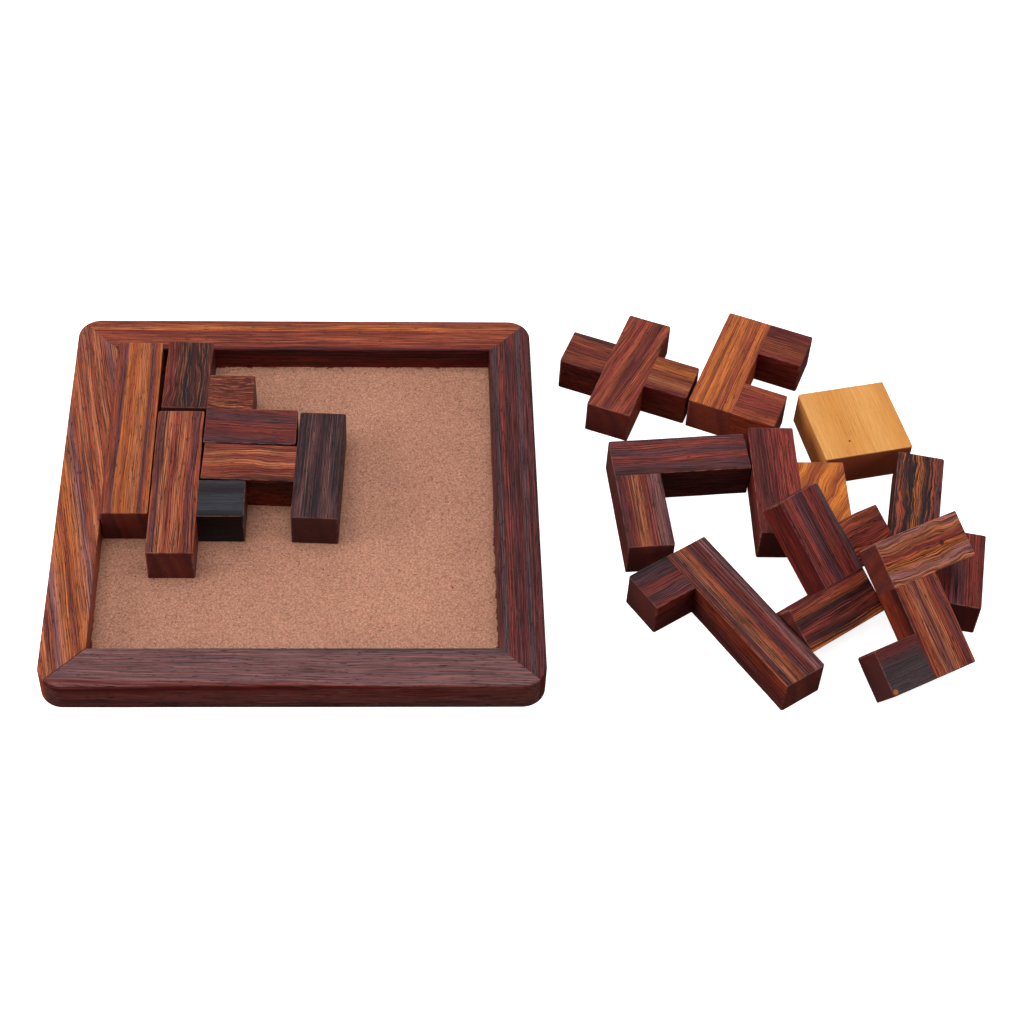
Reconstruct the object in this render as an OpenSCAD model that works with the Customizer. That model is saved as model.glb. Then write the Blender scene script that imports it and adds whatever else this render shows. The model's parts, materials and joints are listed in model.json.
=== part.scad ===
// Pentomino tray puzzle: a square mitred tray with a hardboard floor, and the
// thirteen pieces that fill it, twelve pentominoes and one 2 x 2 square.
// Each piece is glued up from short wood blocks, and each block is one node.
// The origin is the centre of the tray's underside, with +Z up, +X towards
// the loose pieces and +Y towards the back rail.

/* [Pieces] */
// Side of one square unit of the puzzle
unit = 16; // [12:0.5:20]
// Thickness of every piece
piece_t = 13.6; // [10:0.1:14]

/* [Tray] */
// Play left when all eight by eight units are in the recess
play = 6; // [2:0.5:8]
// Width of each rail, seen from above
rail_w = 15; // [14:0.5:20]
// Height of the rails
rail_h = 12; // [9:0.5:14]
// Radius of the tray's four outer corners
corner_r = 8; // [4:0.5:9]
// Radius of the rails' rounded outer top edge
edge_r = 1; // [0.5:0.1:2]
// Thickness of the hardboard floor
floor_t = 3; // [2:0.5:4]
// Depth of the rabbet that holds the floor under each rail
rabbet_w = 4; // [3:0.5:5]
// Gap between the floor's edge and the rabbet's wall
floor_gap = 0.5; // [0.2:0.1:1]

/* [Pieces in the tray] */
// Place of the I piece: x and y in units, heading in degrees
i_place = [-4.16, -0.88, -0.1]; // [-90:0.01:90]
// Place of the Y piece
y_place = [-3.14, -1.95, -0.3]; // [-90:0.01:90]
// Place of the W piece
w_place = [-3.10, 1.16, -1.6]; // [-90:0.01:90]
// Place of the T piece
t_place = [-2.15, -0.89, -2.6]; // [-90:0.01:90]

/* [Pieces flat on the table] */
// Place of the X piece: x and y in units, heading in degrees
x_place = [5.39, 2.86, -22.4]; // [-90:0.01:90]
// Place of the U piece
u_place = [8.59, 2.59, -23.3]; // [-90:0.01:90]
// Place of the V piece
v_place = [6.80, 0.35, 4.7]; // [-90:0.01:90]
// Place of the L piece
l_place = [7.75, -1.87, -57.3]; // [-90:0.01:90]
// Place of the square
square_place = [11.46, 0.81, 11.6]; // [-90:0.01:90]
// Place of the P piece
p_place = [9.80, -1.23, -0.4]; // [-90:0.01:90]
// Place of the N piece
n_place = [12.22, -2.83, -12.4]; // [-90:0.01:90]

/* [Pieces that lean] */
// Place of the F piece: x and y in units, heading, then tilt about its near bottom edge
f_place = [10.30, -3.92, 33.8, 32.2]; // [-90:0.01:90]
// Place of the Z piece
z_place = [12.79, -4.60, 26.1, 29.0]; // [-90:0.01:90]

/* [Hidden] */
$fn = 48;
recess = 8 * unit + play;
tray_side = recess + 2 * rail_w;
half_side = tray_side / 2;
floor_side = recess + 2 * (rabbet_w - floor_gap);
overcut = 1;

// Cross-section of a rail: x runs inwards from the outer face, y is height.
// The outer top edge is rounded, and the rabbet is cut from the inner bottom edge.
module rail_section() {
    difference() {
        square([rail_w, rail_h]);
        translate([rail_w - rabbet_w, -overcut])
            square([rabbet_w + overcut, floor_t + overcut]);
        difference() {
            translate([-overcut, rail_h - edge_r])
                square([edge_r + overcut, edge_r + overcut]);
            translate([edge_r, rail_h - edge_r])
                circle(edge_r);
        }
    }
}

// Plan of a rail without its rounded ends, outer face on y = 0, mitred at 45 degrees
module rail_plan() {
    straight = half_side - corner_r;
    inner = half_side - rail_w;
    polygon([
        [-straight, 0], [straight, 0], [straight, corner_r],
        [inner, rail_w], [-inner, rail_w], [-straight, corner_r]
    ]);
}

// The rail's right end, half of a rounded corner: the outer face swept through 45 degrees
module rail_end() {
    translate([half_side - corner_r, corner_r, 0])
        rotate([0, 0, -90])
            rotate_extrude(angle = 45)
                translate([corner_r, 0])
                    mirror([1, 0])
                        intersection() {
                            rail_section();
                            square([corner_r, rail_h]);
                        }
}

// One rail of the tray, turned to its own side
module rail(turn) {
    rotate([0, 0, turn])
        translate([0, -half_side, 0]) {
            intersection() {
                linear_extrude(rail_h)
                    rail_plan();
                translate([-half_side, 0, 0])
                    rotate([90, 0, 90])
                        linear_extrude(tray_side)
                            rail_section();
            }
            rail_end();
            mirror([1, 0, 0])
                rail_end();
        }
}

// Puts a piece that stands on a surface of the given height at its place
module lay(place, height = 0) {
    translate([place[0] * unit, place[1] * unit, height])
        rotate([0, 0, place[2]])
            children();
}

// Puts a piece at its place with its far side lifted
module lean(place) {
    lay(place)
        rotate([place[3], 0, 0])
            children();
}

// One wood block: its first column and row, then how many units it covers each way
module block(column, row, columns, rows) {
    translate([column * unit, row * unit, 0])
        cube([columns * unit, rows * unit, piece_t]);
}

module front_rail() { color([0.36, 0.20, 0.18]) rail(0); }
module right_rail() { color([0.33, 0.14, 0.15]) rail(90); }
module back_rail() { color([0.52, 0.22, 0.15]) rail(180); }
module left_rail() { color([0.52, 0.27, 0.20]) rail(270); }

module tray_floor() {
    color([0.72, 0.48, 0.38])
        translate([-floor_side / 2, -floor_side / 2, 0])
            cube([floor_side, floor_side, floor_t]);
}

module i_bar() { color([0.56, 0.30, 0.21]) lay(i_place, floor_t) block(0, 0, 1, 5); }

module y_bar() { color([0.53, 0.29, 0.24]) lay(y_place, floor_t) block(0, 0, 1, 4); }
module y_stub() { color([0.16, 0.16, 0.18]) lay(y_place, floor_t) block(1, 1, 1, 1); }

module w_upper_bar() { color([0.32, 0.20, 0.19]) lay(w_place, floor_t) block(0, 1, 1, 2); }
module w_middle_block() { color([0.42, 0.21, 0.20]) lay(w_place, floor_t) block(1, 1, 1, 1); }
module w_lower_bar() { color([0.38, 0.20, 0.19]) lay(w_place, floor_t) block(1, 0, 2, 1); }

module t_stem() { color([0.53, 0.28, 0.23]) lay(t_place, floor_t) block(0, 1, 2, 1); }
module t_crossbar() { color([0.30, 0.21, 0.21]) lay(t_place, floor_t) block(2, 0, 1, 3); }

module x_bar() { color([0.51, 0.24, 0.20]) lay(x_place) block(1, 0, 1, 3); }
module x_left_arm() { color([0.44, 0.24, 0.21]) lay(x_place) block(0, 1, 1, 1); }
module x_right_arm() { color([0.53, 0.29, 0.22]) lay(x_place) block(2, 1, 1, 1); }

module u_back_bar() { color([0.66, 0.34, 0.20]) lay(u_place) block(0, 0, 1, 3); }
module u_far_leg() { color([0.45, 0.22, 0.18]) lay(u_place) block(1, 2, 1, 1); }
module u_near_leg() { color([0.52, 0.24, 0.17]) lay(u_place) block(1, 0, 1, 1); }

module v_long_arm() { color([0.39, 0.22, 0.22]) lay(v_place) block(0, 0, 3, 1); }
module v_short_arm() { color([0.45, 0.27, 0.25]) lay(v_place) block(0, -2, 1, 2); }

module l_bar() { color([0.42, 0.24, 0.22]) lay(l_place) block(0, 0, 4, 1); }
module l_foot() { color([0.33, 0.20, 0.21]) lay(l_place) block(0, -1, 1, 1); }

module square_block() { color([0.86, 0.63, 0.38]) lay(square_place) block(0, 0, 2, 2); }

module p_long_bar() { color([0.38, 0.18, 0.16]) lay(p_place) block(0, 0, 1, 3); }
module p_side_bar() { color([0.74, 0.42, 0.25]) lay(p_place) block(1, 0, 1, 2); }

module n_long_bar() { color([0.44, 0.27, 0.24]) lay(n_place) block(0, 1, 1, 3); }
module n_short_bar() { color([0.41, 0.23, 0.20]) lay(n_place) block(1, 0, 1, 2); }

module f_spine() { color([0.37, 0.20, 0.19]) lean(f_place) block(1, 1, 1, 2); }
module f_crossbar() { color([0.40, 0.21, 0.17]) lean(f_place) block(0, 0, 2, 1); }
module f_side_block() { color([0.46, 0.25, 0.19]) lean(f_place) block(2, 1, 1, 1); }

module z_top_bar() { color([0.53, 0.31, 0.23]) lean(z_place) block(0, 2, 2, 1); }
module z_stem() { color([0.49, 0.27, 0.22]) lean(z_place) block(0, 0, 1, 2); }
module z_end_block() { color([0.27, 0.21, 0.22]) lean(z_place) block(-1, 0, 1, 1); }

front_rail();
right_rail();
back_rail();
left_rail();
tray_floor();
i_bar();
y_bar();
y_stub();
w_upper_bar();
w_middle_block();
w_lower_bar();
t_stem();
t_crossbar();
x_bar();
x_left_arm();
x_right_arm();
u_back_bar();
u_far_leg();
u_near_leg();
v_long_arm();
v_short_arm();
l_bar();
l_foot();
square_block();
p_long_bar();
p_side_bar();
n_long_bar();
n_short_bar();
f_spine();
f_crossbar();
f_side_block();
z_top_bar();
z_stem();
z_end_block();
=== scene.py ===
import json
import math
from collections import namedtuple

import bpy
import numpy as np
from mathutils import Matrix, Vector, noise


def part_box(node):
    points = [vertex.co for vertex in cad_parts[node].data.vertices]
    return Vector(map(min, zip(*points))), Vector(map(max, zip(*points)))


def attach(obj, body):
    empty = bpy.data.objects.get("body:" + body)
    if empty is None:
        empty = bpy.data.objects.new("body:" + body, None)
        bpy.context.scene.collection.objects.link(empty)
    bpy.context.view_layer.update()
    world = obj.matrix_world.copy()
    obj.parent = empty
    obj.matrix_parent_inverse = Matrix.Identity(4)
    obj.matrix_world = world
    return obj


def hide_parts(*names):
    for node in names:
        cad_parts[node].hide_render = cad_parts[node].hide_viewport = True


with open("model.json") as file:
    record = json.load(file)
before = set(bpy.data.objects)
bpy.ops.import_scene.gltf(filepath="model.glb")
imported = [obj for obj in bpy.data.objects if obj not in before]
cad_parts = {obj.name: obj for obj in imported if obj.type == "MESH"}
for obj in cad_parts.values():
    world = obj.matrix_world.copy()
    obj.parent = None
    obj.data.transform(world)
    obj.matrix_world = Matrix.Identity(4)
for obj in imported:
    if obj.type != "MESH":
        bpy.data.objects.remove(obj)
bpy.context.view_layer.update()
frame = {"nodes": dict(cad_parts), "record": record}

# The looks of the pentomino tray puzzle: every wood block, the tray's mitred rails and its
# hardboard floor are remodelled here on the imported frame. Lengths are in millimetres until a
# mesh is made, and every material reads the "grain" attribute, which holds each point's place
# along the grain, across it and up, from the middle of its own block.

MM = 0.001
PIECES = {
    body: names
    for body, names in frame["record"]["behaviour"]["bodies"].items()
    if body != "tray"
}

# ---------------------------------------------------------------- measures

EDGE_ROUND = 0.28  # sanded edges of a block
CORNER_ROUND = 0.55  # upright corners of a block, a little more worn
GLUE_GROOVE = 0.04  # depth of the hairline where two blocks are glued
GRID_STEP = 2.4  # spacing of a block's mesh away from its edges
UNEVEN = 0.03  # how far a sanded face strays from flat
UNEVEN_LENGTH = 9.0  # distance over which it strays

RAIL_TOP_ROUND = 0.8  # the rails' outer top edge
RAIL_EDGE_ROUND = 0.22  # their other edges
RABBET_DEPTH = 4.0
RING_LEAN = 0.22  # how fast the growth rings shift sideways below the top
SLANT_DEPTH = 4.0  # slanting grain straightens out over this depth below the top
MITRE_PRESS = 0.03  # how far a rail's end presses into its neighbour, so no light shows through
OPEN_MITRE = 0.2  # how far the joint at the tray's near left corner has opened at its top
CREASE_ANGLE = math.radians(40)  # edges that turn more than this stay sharp

# ---------------------------------------------------------------- colours

PALETTE = {
    "straw": "CB8C46",
    "pale_straw": "D69C58",
    "honey": "B4682C",
    "amber": "A05828",
    "orange": "925026",
    "tan": "8C5236",
    "mauve": "6E4846",
    "edge_wear_and_highlight": "A47464",
    "rust": "7A3A24",
    "brick": "682A22",
    "wine": "54201E",
    "dusk": "5A4244",
    "plum": "48282C",
    "slate": "3C3034",
    "cocoa": "3C1A18",
    "umber": "281414",
    "ink": "201A1E",
    "ebony": "2A2C32",
    "black": "120E10",
    "end_grain_and_shade": "CCAEAE",  # darkens and greys a block's ends: darker end grain, partly painted shade
    # painted shade: this one darkens and reddens all that lies below a block's top
    "painted_side_shade": "F0D2CA",
}


def colour(name, shade=1.0):
    """The linear colour, with alpha, of a palette name or of a hex value."""
    code = PALETTE.get(name, name)
    parts = [int(code[i:i + 2], 16) / 255 for i in (0, 2, 4)]
    linear = [p / 12.92 if p < 0.04045 else ((p + 0.055) / 1.055) ** 2.4 for p in parts]
    return [p * shade for p in linear] + [1.0]


# How a block of wood looks. bands are colours across its top, from its right or near side to
# its left or far side, and shade makes them all lighter or darker. The growth lines are line
# apart and run long, cover the share cover of the wood and take it the share depth of the way to
# tint. streak is how far they smear the bands, wander and wave how far the grain strays and over
# what length, and slant how much the bands run off it. fibre is the contrast of the fine fibres.
# knot is a spot: its place along and across as shares of the block, its radius and its colour.
# grain is which way the fibres run: "long" with the block, or "x" or "y" in its piece.
Look = namedtuple(
    "Look",
    "bands shade line cover depth tint streak wander wave run slant fibre pores knot grain",
    defaults=[1.0, 0.8, 0.45, 0.8, "umber", 0.2, 0.5, 40.0, 40.0, 0.0, 2.4, 0.8, None, "long"],
)

LOOKS = {
    "i_bar": Look(
        "orange rust plum orange tan orange rust orange plum rust brick", 1.17, 0.9, 0.3, 0.4, "plum",
        streak=0.1, wander=0.3, run=120, fibre=2.0, pores=0.7,
    ),
    "y_bar": Look("rust plum rust tan brick tan plum rust", 1.37, tint="cocoa", wander=0.8, run=60),
    "y_stub": Look("black ebony ebony ink ebony", 1.2, depth=0.3, tint="black", streak=0.1, fibre=1.4, grain="x"),
    "w_upper_bar": Look("wine ink cocoa ink cocoa wine brick", 0.85, 1.0, 0.25, 0.5, "tan", wander=1.0, wave=18, run=12),
    "w_middle_block": Look("wine brick wine brick", 0.7, 0.9, 0.3, 1.0, "tan", wave=7, run=5, grain="x"),
    "w_lower_bar": Look("plum wine brick plum brick", 1.2, 0.8, tint="ink", wave=25, run=80, slant=0.07),
    # painted shade: the first umber band darkens the stem's near face, which stands in shade in the tray
    "t_stem": Look("umber rust brick rust tan brick tan brick rust", 1.35, 0.8, wander=1.0, wave=15),
    "t_crossbar": Look("plum mauve plum mauve plum", 0.74, 0.9, 0.66, 1.0, "ink", 0.1, 0.2, run=200),
    "x_bar": Look("brick rust wine rust brick rust", 1.3, 1.0, tint="cocoa", streak=0.13, wave=30, slant=0.12),
    "x_left_arm": Look("wine rust brick rust plum", 0.95, 0.8, 0.5, 0.9, streak=0.13, wave=12, grain="x"),
    "x_right_arm": Look("brick tan rust amber rust", 0.85, 1.2, 0.35, tint="wine", run=80, grain="x"),
    "u_back_bar": Look(
        "rust orange rust orange orange orange orange rust", 1.36, 0.9, 0.4, 0.7, "wine", 0.12, 0.2, run=150,
        fibre=1.8, pores=0.6,
    ),
    "u_far_leg": Look("brick rust brick wine", 1.05, run=60, grain="x"),
    "u_near_leg": Look("rust brick rust", 1.2, cover=0.35, depth=0.6, tint="wine", wander=0.4, grain="x"),
    # the first cocoa band darkens the arm's near face: partly dark wood, partly painted shade in the V's inner
    # corner
    "v_long_arm": Look("cocoa plum brick plum brick plum", 1.3, 1.2, 0.5, 0.8, "ink", wander=1.0, wave=35),
    "v_short_arm": Look("plum mauve brick tan brick plum", 1.1, 0.9, wander=0.3, run=120),
    "l_bar": Look("plum mauve brick plum rust tan plum rust", 1.08, 0.8, wander=0.3, run=120),
    "l_foot": Look("brick plum brick plum ink", 1.0, 1.0, tint="ink", wander=0.7, wave=12, grain="x"),
    "square_block": Look(
        "straw pale_straw straw pale_straw", 0.92, 1.0, 0.3, 0.15, "amber", wander=0.4, wave=50,
        fibre=0.5, pores=0.15, knot=(-0.28, 0.16, 0.4, "black"), grain="y",
    ),
    "p_long_bar": Look("wine brick wine cocoa wine", 1.6, 0.9, wander=0.6),
    "p_side_bar": Look(
        "orange honey honey rust amber honey orange rust", 1.1, 2.2, 0.3, 0.35, "rust", wander=1.2,
        wave=12, run=60, slant=0.5, fibre=1.4,
    ),
    "n_long_bar": Look(
        "plum rust ink orange ink rust ink", 1.3, 1.3, 0.6, 0.95, "ink", 0.3, 0.8, wave=10, run=12
    ),
    "n_short_bar": Look("wine brick plum wine brick", 1.5, wander=0.6),
    "f_spine": Look("slate wine brick plum brick wine", 1.4, 1.0, 0.5, tint="ink", wander=0.3, run=120),
    "f_crossbar": Look("orange cocoa brick umber rust wine", 1.4, 1.1, 0.5, 0.85, wander=0.8, wave=25),
    "f_side_block": Look("rust brick rust", 1.35, 1.2, 0.5, 0.85, wander=1.0, wave=10, run=20, grain="x"),
    "z_top_bar": Look(
        "tan mauve orange brick tan mauve", 1.3, 1.1, 0.5, 0.85, "cocoa", wander=1.2, wave=12, run=20,
        knot=(0.2, 0.0, 0.9, "cocoa"),
    ),
    # painted shade: the last umber band darkens the stem's left side, which lies in shade
    "z_stem": Look("rust plum rust tan plum tan rust umber", 1.25, 1.0, tint="wine", run=100),
    "z_end_block": Look(
        "slate slate wine", 1.03, depth=0.4, tint="ink", fibre=1.4, grain="x", knot=(-0.43, -0.42, 0.9, "amber")
    ),
    # the greyish mauve, dusk and slate bands are partly the rail's grey-streaked wood and partly a painted sheen
    "front_rail": Look(
        "wine mauve dusk mauve dusk mauve dusk mauve dusk mauve dusk slate", 1.13, 1.0, 0.35, 0.5, streak=0.12, slant=0.02, fibre=1.8,
    ),
    "right_rail": Look("plum wine slate wine plum brick slate wine", 1.2, 0.8, 0.5, wander=0.4, wave=80, run=150),
    "back_rail": Look("brick rust orange brick rust rust brick umber", 1.3, 1.0, tint="wine", wave=60, run=60),
    "left_rail": Look(
        "rust orange tan mauve rust tan rust tan", 1.32, 1.0, tint="plum", streak=0.15, run=60, slant=-0.18
    ),
}

# ---------------------------------------------------------------- materials


class Graph:
    """A material's node tree, built with one call for each node."""

    def __init__(self, name):
        self.material = bpy.data.materials.new(name)
        self.material.use_nodes = True
        self.tree = self.material.node_tree
        self.shader = self.tree.nodes["Principled BSDF"]

    def feed(self, socket, value):
        """Links value to the socket if it is another node's output, or sets it."""
        if isinstance(value, bpy.types.NodeSocket):
            self.tree.links.new(value, socket)
        else:
            socket.default_value = value

    def math(self, operation, first, second=0.0, third=0.0):
        node = self.tree.nodes.new("ShaderNodeMath")
        node.operation = operation
        for socket, value in zip(node.inputs, (first, second, third)):
            self.feed(socket, value)
        return node.outputs[0]

    def vector(self, x, y, z):
        node = self.tree.nodes.new("ShaderNodeCombineXYZ")
        for socket, value in zip(node.inputs, (x, y, z)):
            self.feed(socket, value)
        return node.outputs[0]

    def length(self, x, y):
        node = self.tree.nodes.new("ShaderNodeVectorMath")
        node.operation = "LENGTH"
        self.feed(node.inputs[0], self.vector(x, y, 0.0))
        return node.outputs["Value"]

    def split(self, vector):
        node = self.tree.nodes.new("ShaderNodeSeparateXYZ")
        self.feed(node.inputs[0], vector)
        return node.outputs

    def grain(self):
        """The point's place along the grain, across it and up, in millimetres."""
        node = self.tree.nodes.new("ShaderNodeAttribute")
        node.attribute_name = "grain"
        return self.split(node.outputs["Vector"])

    def wear_and_highlight(self):
        """1 on rounded edges and corners, which take edge wear and a painted highlight; 0 elsewhere."""
        node = self.tree.nodes.new("ShaderNodeAttribute")
        node.attribute_name = "wear_and_highlight"
        return node.outputs["Fac"]

    def noise(self, place, detail=2.0, roughness=0.5, distortion=0.0):
        node = self.tree.nodes.new("ShaderNodeTexNoise")
        self.feed(node.inputs["Vector"], place)
        node.inputs["Scale"].default_value = 1.0
        node.inputs["Detail"].default_value = detail
        node.inputs["Roughness"].default_value = roughness
        node.inputs["Distortion"].default_value = distortion
        return node.outputs[0]

    def between(self, value, low, high):
        """0 below low, 1 above high and smooth in between."""
        node = self.tree.nodes.new("ShaderNodeMapRange")
        node.interpolation_type = "SMOOTHSTEP"
        for key, part in zip(("Value", "From Min", "From Max"), (value, low, high)):
            self.feed(node.inputs[key], part)
        return node.outputs[0]

    def bands(self, value, names, shade=1.0):
        """Colours spread evenly from 0 to 1."""
        node = self.tree.nodes.new("ShaderNodeValToRGB")
        node.color_ramp.interpolation = "EASE"
        stops = node.color_ramp.elements
        for i, name in enumerate(names):
            position = i / (len(names) - 1)
            stop = stops[0] if i == 0 else stops[-1] if i == len(names) - 1 else stops.new(position)
            stop.position = position
            stop.color = colour(name, shade)
        self.feed(node.inputs[0], value)
        return node.outputs[0]

    def mix(self, share, first, second, blend="MIX"):
        node = self.tree.nodes.new("ShaderNodeMix")
        node.data_type = "RGBA"
        node.blend_type = blend
        for index, value in ((0, share), (6, first), (7, second)):
            self.feed(node.inputs[index], value)
        return node.outputs[2]

    def bump(self, height, distance, strength):
        node = self.tree.nodes.new("ShaderNodeBump")
        node.inputs["Strength"].default_value = strength
        node.inputs["Distance"].default_value = distance
        self.feed(node.inputs["Height"], height)
        self.tree.links.new(node.outputs[0], self.shader.inputs["Normal"])


def wood(name, look, size, seed):
    """The wood of one block: size is its length along the grain, its width and its height."""
    g = Graph(name)
    along, across, up = g.grain()
    far = seed * 37.0

    def stretched(lengthwise, crosswise, upright=None):
        """The place in the wood, with so many noise cells to the millimetre each way."""
        return g.vector(
            g.math("MULTIPLY_ADD", along, lengthwise, far),
            g.math("MULTIPLY_ADD", ring, crosswise, far),
            g.math("MULTIPLY_ADD", up, upright or crosswise, far),
        )

    ring = across
    stray = g.noise(stretched(1 / look.wave, 0.09), 2.0)
    below_top = g.math("MULTIPLY_ADD", up, -RING_LEAN, RING_LEAN * size[2] / 2)
    slanting = g.math("MULTIPLY", along, look.slant)
    slanting = g.math("MULTIPLY", slanting, g.between(up, size[2] / 2 - SLANT_DEPTH, size[2] / 2))
    drift = g.math("ADD", slanting, below_top)
    ring = g.math("ADD", across, g.math("MULTIPLY_ADD", stray, 4 * look.wander, drift))
    ring = g.math("SUBTRACT", ring, 2 * look.wander)

    strands = g.noise(stretched(1 / look.run, 2.4 / look.line, 2.0 / look.line), 3.0, 0.6)
    smear = g.math("MULTIPLY_ADD", strands, 2 * look.streak, 0.5 - look.streak)
    place = g.math("PINGPONG", g.math("MULTIPLY_ADD", ring, 1 / size[1], smear), 1.0)
    tone = g.bands(place, look.bands.split(), look.shade)

    middle = 0.61 - 0.22 * look.cover
    line = g.between(strands, middle - 0.05, middle + 0.06)
    fade = g.between(g.noise(stretched(0.03, 0.25), 2.0), 0.25, 0.6)
    tone = g.mix(g.math("MULTIPLY", g.math("MULTIPLY", line, fade), look.depth), tone, colour(look.tint))

    fibres = g.noise(stretched(0.07, 4.6), 2.0, 0.7)
    tone = g.mix(1.0, tone, g.math("MULTIPLY_ADD", fibres, 2 * look.fibre, 1 - look.fibre), "MULTIPLY")

    pores = g.between(g.noise(stretched(0.3, 3.2), 1.0), 0.63, 0.7)
    tone = g.mix(g.math("MULTIPLY", pores, look.pores), tone, colour("black"))

    # The ends: darker, greyer end grain, and partly painted shade on the ends
    end = g.between(g.math("ABSOLUTE", along), size[0] / 2 - 0.25, size[0] / 2 - 0.1)
    tone = g.mix(end, tone, colour("end_grain_and_shade"), "MULTIPLY")
    tone = g.mix(g.math("MULTIPLY", end, 0.35), tone, colour("mauve"))

    # Painted shade: all that lies more than a little below the top, sides and bottom, darker and redder
    below = g.between(g.math("SUBTRACT", size[2] / 2, up), 0.2, 0.6)
    tone = g.mix(below, tone, colour("painted_side_shade"), "MULTIPLY")

    if look.knot:
        at_along, at_across, radius, knot_colour = look.knot
        gap_along = g.math("SUBTRACT", along, at_along * size[0])
        gap_across = g.math("SUBTRACT", across, at_across * size[1])
        spot = g.between(g.length(gap_along, gap_across), radius * 1.3, radius * 0.6)
        tone = g.mix(spot, tone, colour(knot_colour))

    # Rounded edges lighter and greyer: edge wear, and partly a painted highlight
    edge_wear_and_highlight = g.math("MULTIPLY", g.wear_and_highlight(), g.between(g.noise(stretched(0.3, 0.5), 2.0), 0.35, 0.65))
    tone = g.mix(g.math("MULTIPLY", edge_wear_and_highlight, 0.25), tone, colour("edge_wear_and_highlight", look.shade))

    g.feed(g.shader.inputs["Base Color"], tone)
    g.feed(g.shader.inputs["Roughness"], g.math("MULTIPLY_ADD", fibres, 0.25, 0.34))
    g.shader.inputs["Specular IOR Level"].default_value = 0.1
    height = g.math("SUBTRACT", fibres, g.math("MULTIPLY", pores, 0.8))
    g.bump(height, 0.05 * MM, 0.5)
    return g.material


def hardboard(name, inner_half):
    """Pressed wood fibre: tan grit with short curly fibres, and polish that bled at the walls."""
    g = Graph(name)
    along, across, up = g.grain()

    def scaled(factor):
        return g.vector(*(g.math("MULTIPLY", part, factor) for part in (along, across, up)))

    tone = g.bands(g.between(g.noise(scaled(0.06), 3.0), 0.3, 0.7), ["A67863", "AA7C66"])
    grit = g.noise(scaled(1.4), 3.0, 0.8)
    tone = g.mix(1.0, tone, g.math("MULTIPLY_ADD", grit, 2.4, -0.18), "MULTIPLY")
    curls = g.math("ABSOLUTE", g.math("SUBTRACT", g.noise(scaled(0.9), 1.0, 0.5, 1.6), 0.5))
    curl = g.math("SUBTRACT", 1.0, g.between(curls, 0.014, 0.036))
    kept = g.between(g.noise(scaled(0.6), 2.0), 0.48, 0.57)
    tone = g.mix(g.math("MULTIPLY", g.math("MULTIPLY", curl, kept), 0.75), tone, colour("6A4030"))
    speck = g.between(g.noise(scaled(1.1), 0.0), 0.81, 0.84)
    tone = g.mix(speck, tone, colour("6A2C1E"))
    edge = g.math("MAXIMUM", g.math("ABSOLUTE", along), g.math("ABSOLUTE", across))
    ragged = g.math("MULTIPLY_ADD", g.noise(scaled(0.22), 4.0, 0.75), 5.0, edge)
    stain = g.between(ragged, inner_half + 2.0, inner_half + 2.6)
    patchy = g.between(g.noise(scaled(0.04), 1.0), 0.42, 0.58)
    tone = g.mix(g.math("MULTIPLY", stain, patchy), tone, colour("5E2014"))

    g.feed(g.shader.inputs["Base Color"], tone)
    g.shader.inputs["Roughness"].default_value = 0.75
    g.shader.inputs["Specular IOR Level"].default_value = 0.16
    g.bump(grit, 0.06 * MM, 0.4)
    return g.material


def white_table():
    """The bright, even table top that the puzzle stands on."""
    g = Graph("studio_floor")
    g.shader.inputs["Base Color"].default_value = [0.9, 0.9, 0.9, 1.0]
    g.shader.inputs["Roughness"].default_value = 0.9
    g.shader.inputs["Specular IOR Level"].default_value = 0.0
    g.shader.inputs["Emission Color"].default_value = [1.0, 1.0, 1.0, 1.0]
    g.shader.inputs["Emission Strength"].default_value = 0.85
    return g.material


# ---------------------------------------------------------------- meshes


def make_object(name, points, faces, grain, wear_and_highlight, material):
    """An object from points in millimetres, with their places in the wood and their share of edge wear and
    painted highlight.
    """
    mesh = bpy.data.meshes.new(name)
    mesh.from_pydata([list(p) for p in np.asarray(points) * MM], [], faces)
    mesh.polygons.foreach_set("use_smooth", [True] * len(mesh.polygons))
    mesh.set_sharp_from_angle(angle=CREASE_ANGLE)
    places = mesh.attributes.new("grain", "FLOAT_VECTOR", "POINT")
    places.data.foreach_set("vector", np.asarray(grain, np.float32).ravel())
    edge_wear_and_highlight = mesh.attributes.new("wear_and_highlight", "FLOAT", "POINT")
    edge_wear_and_highlight.data.foreach_set("value", np.asarray(wear_and_highlight, np.float32))
    mesh.materials.append(material)
    thing = bpy.data.objects.new(name, mesh)
    bpy.context.scene.collection.objects.link(thing)
    return thing


def show(thing, node, body):
    """The object stands for its CAD node and moves with that node's body."""
    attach(thing, body)
    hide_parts(node)


def waves(points, length, seed):
    """Smooth random vectors, from -1 to 1, at each point."""
    return np.array([
        noise.noise_vector(Vector(p) / length + Vector((seed, 0, 0))) for p in points
    ])


def box_surface(stops):
    """Points and faces of a box's surface, cut at the stops along each axis."""
    counts = [len(s) for s in stops]
    index, points, faces = {}, [], []

    def point(cell):
        if cell not in index:
            index[cell] = len(points)
            points.append([stops[axis][cell[axis]] for axis in range(3)])
        return index[cell]

    for axis in range(3):
        u, v = (axis + 1) % 3, (axis + 2) % 3
        for end in (0, counts[axis] - 1):
            for i in range(counts[u] - 1):
                for j in range(counts[v] - 1):
                    corners = []
                    for du, dv in ((0, 0), (1, 0), (1, 1), (0, 1)):
                        cell = [0, 0, 0]
                        cell[axis], cell[u], cell[v] = end, i + du, j + dv
                        corners.append(point(tuple(cell)))
                    faces.append(corners if end else corners[::-1])
    return np.array(points), faces


def node_corners(node):
    """The CAD node's own corner points, in millimetres."""
    found = np.array([v.co for v in frame["nodes"][node].data.vertices]) / MM
    return np.unique(found.round(4), axis=0)


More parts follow.
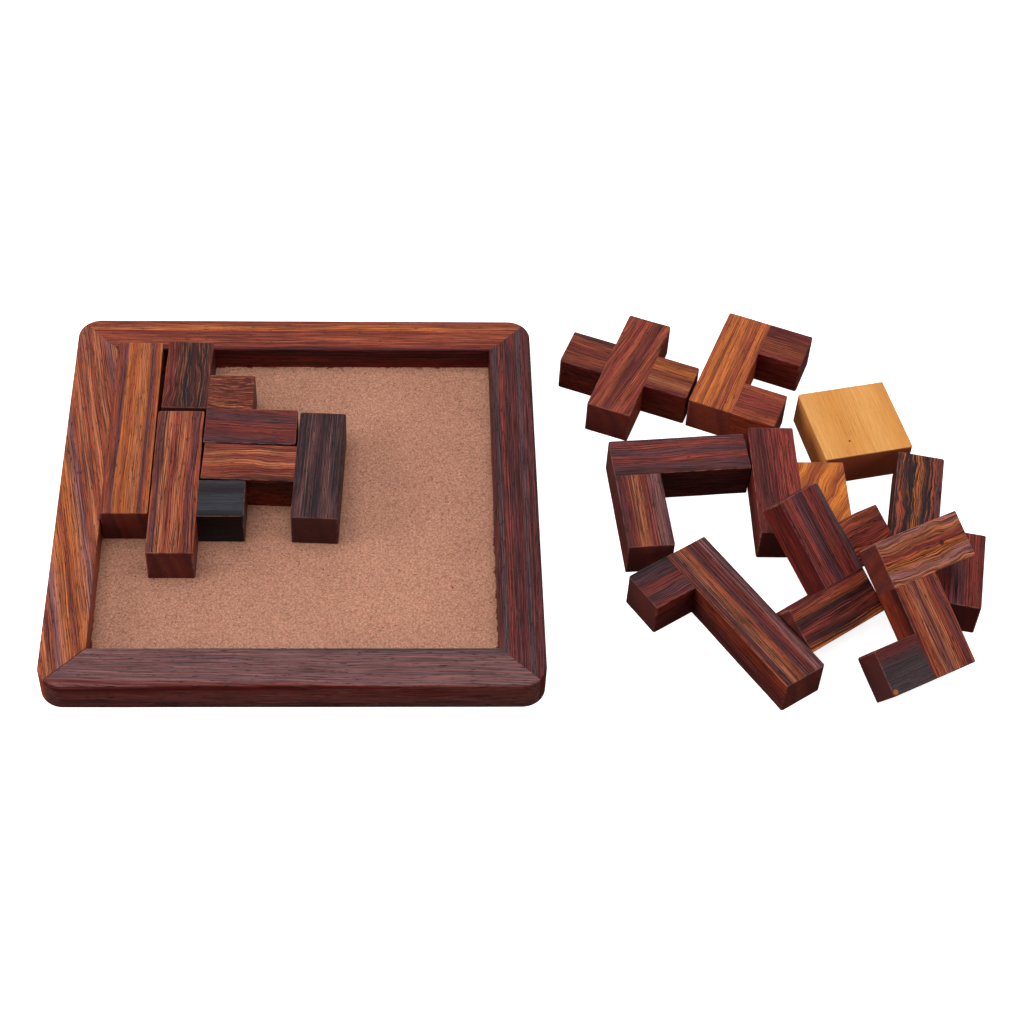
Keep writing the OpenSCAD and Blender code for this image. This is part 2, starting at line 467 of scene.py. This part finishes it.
def piece_axes(node):
    """A flat piece's axes: its left-to-right, its near-to-far and its thickness."""
    corners = node_corners(node)
    normals = np.unique(
        np.array([p.normal for p in frame["nodes"][node].data.polygons]).round(5), axis=0
    )
    spans = np.ptp(corners @ normals.T, axis=0)
    up = normals[np.argmin(spans - 1e-3 * normals[:, 2])]
    level = normals[np.abs(normals @ up) < 0.5]
    right = level[np.argmax(level[:, 0])]
    return np.array([right, np.cross(up, right), up])


class Block:
    """One block of a piece: its box in the piece's axes, and where other blocks are glued on."""

    def __init__(self, node, axes):
        self.node = node
        self.axes = axes
        places = node_corners(node) @ axes.T
        self.low, self.high = places.min(0), places.max(0)
        self.glued = {}

    def find_glue(self, others):
        """Notes, for each side face, the stretches along it where a neighbour touches."""
        for axis in (0, 1):
            along = 1 - axis
            for side, mine, theirs in ((-1, self.low, "high"), (1, self.high, "low")):
                self.glued[axis, side] = [
                    (max(self.low[along], o.low[along]), min(self.high[along], o.high[along]))
                    for o in others
                    if o is not self
                    and abs(mine[axis] - getattr(o, theirs)[axis]) < 0.1
                    and min(self.high[along], o.high[along]) - max(self.low[along], o.low[along]) > 1
                ]


def cuts(block, axis):
    """Where the block's mesh is cut along an axis: close together at edges and glue lines."""
    low, high = block.low[axis], block.high[axis]
    near = np.array([0, 0.06, 0.14, 0.26, 0.42, 0.62, 0.85, 1.2])
    stops = list(low + near) + list(high - near)
    stops += list(np.linspace(low, high, int((high - low) / GRID_STEP) + 1))
    if axis < 2:
        for side in (-1, 1):
            for stretch in block.glued[1 - axis, side]:
                for end in stretch:
                    stops += list(end + near[:7]) + list(end - near[:7])
    stops = sorted(s for s in stops if low - 1e-6 <= s <= high + 1e-6)
    kept = [low]
    for s in stops:
        if s - kept[-1] > 0.05:
            kept.append(s)
    kept[-1] = high
    return kept


def openness(block, axis, side, where):
    """1 where that side face is free, 0 where a block is glued to it, at places along it."""
    free = np.ones(len(where))
    for low, high in block.glued[axis, side]:
        inside = np.minimum(where - low, high - where)
        at_ends = [low - block.low[1 - axis] < 0.1, block.high[1 - axis] - high < 0.1]
        if at_ends[0]:
            inside = np.where(where < (low + high) / 2, 9.0, inside)
        if at_ends[1]:
            inside = np.where(where > (low + high) / 2, 9.0, inside)
        free = np.minimum(free, 1 - np.clip(inside / EDGE_ROUND, 0, 1))
    return free


def soften(block, points, seed):
    """Sands a block's points: round free edges and corners, square glued ones, faces a bit uneven.

    Gives the new points and how far each of them takes the edge wear and painted highlight.
    """
    points = points.copy()
    far_off = 3.0
    gap = np.zeros((len(points), 2))
    way = np.zeros((len(points), 2))
    glue_line = np.zeros(len(points), bool)
    for axis in (0, 1):
        free = {s: openness(block, axis, s, points[:, 1 - axis]) for s in (-1, 1)}
        to_low = points[:, axis] - block.low[axis] + far_off * (1 - free[-1])
        to_high = block.high[axis] - points[:, axis] + far_off * (1 - free[1])
        gap[:, axis] = np.minimum(to_low, to_high)
        way[:, axis] = np.where(to_low < to_high, -1, 1)
        glue_line |= (points[:, axis] < block.low[axis] + 0.01) & (free[-1] < 0.5)
        glue_line |= (points[:, axis] > block.high[axis] - 0.01) & (free[1] < 0.5)

    quarter = (way[:, 0] > 0) + 2 * (way[:, 1] > 0)
    turn = CORNER_ROUND * np.array([0.8 + 0.9 * noise.random() for _ in range(4)])[quarter]
    share = np.clip(1 - gap / turn[:, None], 0, 1)
    bent = share * np.sqrt(1 - share[:, ::-1] ** 2 / 2)
    moved = (bent - share) * turn[:, None]
    points[:, :2] += moved * way
    gap = gap - moved

    reach = np.clip(turn[:, None] - gap, 0, None)
    round_part = np.hypot(reach[:, 0], reach[:, 1])
    at_corner = (reach > 0).all(1)
    depth = np.where(at_corner, turn - round_part, gap.min(1))
    nearest = np.eye(2)[np.argmin(gap, 1)]
    outward = way * np.where(at_corner[:, None], reach / np.maximum(round_part, 1e-9)[:, None], nearest)

    ripple = waves(points, UNEVEN_LENGTH, seed)
    edge = EDGE_ROUND * (1 + 0.5 * ripple[:, 0])
    to_bottom, to_top = points[:, 2] - block.low[2], block.high[2] - points[:, 2]
    from_side = np.clip(edge - depth, 0, None)
    from_face = np.clip(edge - np.minimum(to_bottom, to_top), 0, None)
    shrink = np.minimum(edge / np.maximum(np.hypot(from_side, from_face), 1e-9), 1) - 1
    points[:, :2] += outward * (shrink * from_side)[:, None]
    upward = np.where(to_top < to_bottom, 1, -1)
    points[:, 2] += upward * shrink * from_face

    wear_and_highlight = np.clip(2.5 * np.minimum(from_side, from_face) / edge, 0, 1)
    wear_and_highlight = np.maximum(wear_and_highlight, np.clip((reach / turn[:, None]).min(1) * 2.5 - depth, 0, 1))

    top_or_bottom = np.minimum(to_bottom, to_top) < 0.01
    points[glue_line & top_or_bottom, 2] -= (upward * GLUE_GROOVE)[glue_line & top_or_bottom]
    wall = glue_line & (depth < 0.01)
    points[wall, :2] -= outward[wall] * GLUE_GROOVE
    return points + ripple * UNEVEN, wear_and_highlight


def grain_axes(block, look):
    """Rows: along the grain, across it and up, in the piece's axes."""
    size = block.high - block.low
    runs_x = look.grain == "x" or (look.grain == "long" and size[0] > size[1])
    return np.array([[1, 0, 0], [0, 1, 0], [0, 0, 1]] if runs_x else [[0, 1, 0], [-1, 0, 0], [0, 0, 1]])


def make_block(block, body, seed):
    """One wood block: its mesh, its wood and the CAD node that it stands for."""
    look = LOOKS[block.node]
    raw, faces = box_surface([cuts(block, axis) for axis in range(3)])
    points, wear_and_highlight = soften(block, raw, seed)
    turn = grain_axes(block, look)
    grain = (points - (block.low + block.high) / 2) @ turn.T
    size = np.abs(turn @ (block.high - block.low))
    material = wood("wood_" + block.node, look, size, seed)
    thing = make_object(block.node + "_wood", points @ block.axes, faces, grain, wear_and_highlight, material)
    show(thing, block.node, body)


def make_piece(body, names, seed):
    """All the blocks of one puzzle piece."""
    axes = piece_axes(names[0])
    blocks = [Block(node, axes) for node in names]
    for number, block in enumerate(blocks):
        block.find_glue(blocks)
        make_block(block, body, seed + 0.31 * number)


def arc(centre_x, centre_y, radius, start, steps):
    """Points of a quarter circle, clockwise from the start angle in degrees."""
    angles = [math.radians(start - 90 * i / steps) for i in range(steps + 1)]
    return [(centre_x + radius * math.cos(a), centre_y + radius * math.sin(a)) for a in angles]


def rail_section(width, height, floor_top):
    """The rail's outline: distance inwards from its outer face, then height."""
    top, small = RAIL_TOP_ROUND, RAIL_EDGE_ROUND
    wall = width - RABBET_DEPTH
    across_top = [(v, height) for v in np.linspace(top, width - small, 9)[1:-1]]
    return (
        arc(small, small, small, 270, 3)
        + [(0, height * 0.3), (0, height * 0.6)]
        + arc(top, height - top, top, 180, 6)
        + across_top
        + arc(width - small, height - small, small, 90, 4)
        + [(width, (height + floor_top) / 2), (width, floor_top), (wall, floor_top), (wall, 0)]
        + [(wall / 2, 0)]
    )


def rail_point(t, v, half, inner_half, corner):
    """A point of a rail's plan: t runs from -1 to 1 along it, v is how far inwards it lies."""
    side = 1 if t > 0 else -1
    straight = half - corner
    length = straight + corner * math.pi / 4
    run = abs(t) * length
    outer_zone, inner_zone = 3.0, half - inner_half - 1.0

    def outer(inset):
        if run <= straight:
            return np.array([run, inset])
        angle = (run - straight) / corner
        return np.array([
            straight + (corner - inset) * math.sin(angle),
            corner - (corner - inset) * math.cos(angle),
        ])

    def inner(inset):
        return np.array([(half - inset) * abs(t), inset])

    if v <= outer_zone:
        place = outer(v)
    elif v >= inner_zone:
        place = inner(v)
    else:
        share = (v - outer_zone) / (inner_zone - outer_zone)
        place = outer(outer_zone) * (1 - share) + inner(inner_zone) * share
    return place[0] * side, place[1]


def make_rail(node, turn, gaps, seed):
    """One mitred rail of the tray. turn is its heading, gaps how far each mitre has opened."""
    tray = [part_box(n) for n in ("left_rail", "front_rail", "tray_floor")]
    half = -tray[0][0].x / MM
    inner_half = -tray[0][1].x / MM
    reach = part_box("front_rail")[1].x / MM
    corner = (half - reach) / (1 - math.sin(math.pi / 4))
    height = tray[1][1].z / MM
    section = np.array(rail_section(half - inner_half, height, tray[2][1].z / MM))
    steps = np.concatenate([
        -1 + 0.11 * np.linspace(0, 1, 12),
        np.linspace(-0.89, 0.89, 72)[1:-1],
        1 - 0.11 * np.linspace(1, 0, 12),
    ])
    local = []
    for t in steps:
        for v, z in section:
            x, y = rail_point(t, v, half, inner_half, corner)
            local.append((x, y, z))
    local = np.array(local)
    per_ring = len(section)
    opened = section[:, 1] / height
    local[:per_ring, 0] += gaps[0] * opened - MITRE_PRESS
    local[-per_ring:, 0] -= gaps[1] * opened - MITRE_PRESS
    local += waves(local, UNEVEN_LENGTH * 2, seed) * UNEVEN
    faces = []
    for ring in range(len(steps) - 1):
        for i in range(per_ring):
            a, b = ring * per_ring + i, ring * per_ring + (i + 1) % per_ring
            faces.append([a, b, b + per_ring, a + per_ring])
    last = (len(steps) - 1) * per_ring
    faces.append(list(range(per_ring))[::-1])
    faces.append(list(range(last, last + per_ring)))
    angle = math.radians(turn)
    spin = np.array([[math.cos(angle), -math.sin(angle), 0], [math.sin(angle), math.cos(angle), 0], [0, 0, 1]])
    points = (local + [0, -half, 0]) @ spin.T
    size = (2 * half, half - inner_half, height)
    grain = local - [0, size[1] / 2, height / 2]
    material = wood("wood_" + node, LOOKS[node], size, seed)
    thing = make_object(node + "_wood", points, faces, grain, np.zeros(len(points)), material)
    show(thing, node, "tray")


def make_floor_panel():
    """The hardboard panel in the rails' rabbets."""
    low, high = (np.array(p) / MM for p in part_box("tray_floor"))
    stops = [np.linspace(low[axis], high[axis], 60) for axis in (0, 1)]
    points, faces = box_surface(stops + [[low[2], high[2]]])
    inner_half = -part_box("left_rail")[1].x / MM
    material = hardboard("hardboard", inner_half)
    thing = make_object("tray_floor_panel", points, faces, points, np.zeros(len(points)), material)
    thing.visible_diffuse = False
    show(thing, "tray_floor", "tray")


# ---------------------------------------------------------------- studio


def make_floor():
    """The table. It doesn't throw its own light back on to the wood's dark sides."""
    bpy.ops.mesh.primitive_plane_add(size=40)
    floor = bpy.context.object
    floor.name = "studio_floor"
    floor.data.materials.append(white_table())
    floor.visible_diffuse = False
    floor.visible_glossy = False


def make_light(name, towards, spread, strength):
    """Soft, even light from a direction; spread is how wide its source looks, in degrees."""
    data = bpy.data.lights.new(name, "SUN")
    data.energy = strength
    data.angle = math.radians(spread)
    light = bpy.data.objects.new(name, data)
    light.rotation_euler = Vector(towards).to_track_quat("Z", "Y").to_euler()
    bpy.context.scene.collection.objects.link(light)


def make_world(tint, strength):
    """A dim warm glow all round, such as the wood itself throws back."""
    world = bpy.data.worlds.new("studio")
    world.use_nodes = True
    world.node_tree.nodes["Background"].inputs["Color"].default_value = tint
    world.node_tree.nodes["Background"].inputs["Strength"].default_value = strength
    bpy.context.scene.world = world


def make_camera():
    """Looks down on the table from in front, a little to the right of the tray."""
    yaw, pitch, roll = math.radians(-2.746), math.radians(50.065), math.radians(-2.191)
    place = Vector((0.03154, -0.49897, 0.59741))
    forward = Vector((-math.sin(yaw) * math.cos(pitch), math.cos(yaw) * math.cos(pitch), -math.sin(pitch)))
    right = Vector((math.cos(yaw), math.sin(yaw), 0))
    down = forward.cross(right)
    tilted_right = math.cos(roll) * right + math.sin(roll) * down
    tilted_down = -math.sin(roll) * right + math.cos(roll) * down
    data = bpy.data.cameras.new("camera")
    data.sensor_width = 36
    data.lens = 78.68
    data.shift_x = 0.0508
    camera = bpy.data.objects.new("camera", data)
    bpy.context.scene.collection.objects.link(camera)
    turn = Matrix((tilted_right, -tilted_down, -forward)).transposed()
    camera.matrix_world = Matrix.Translation(place) @ turn.to_4x4()
    bpy.context.scene.camera = camera


# ---------------------------------------------------------------- the model

noise.seed_set(7)
make_camera()
make_floor()
make_light("overhead", (-0.1, 0.0, 1.0), 60, 2.12)
make_light("left", (-1.0, -0.15, 0.4), 40, 2.2)
make_light("right", (1.0, -0.4, 0.4), 40, 1.25)
make_light("back", (0.0, 1.0, 0.4), 40, 0.9)
make_world([1.0, 0.5, 0.4, 1.0], 0.13)
bpy.context.scene.view_settings.view_transform = "Standard"

for number, (body, names) in enumerate(PIECES.items()):
    make_piece(body, names, 1.7 + 2.3 * number)

make_rail("front_rail", 0, (OPEN_MITRE, 0), 41.3)
make_rail("right_rail", 90, (0, 0), 43.9)
make_rail("back_rail", 180, (0, 0), 47.1)
make_rail("left_rail", 270, (0, OPEN_MITRE), 51.7)
make_floor_panel()
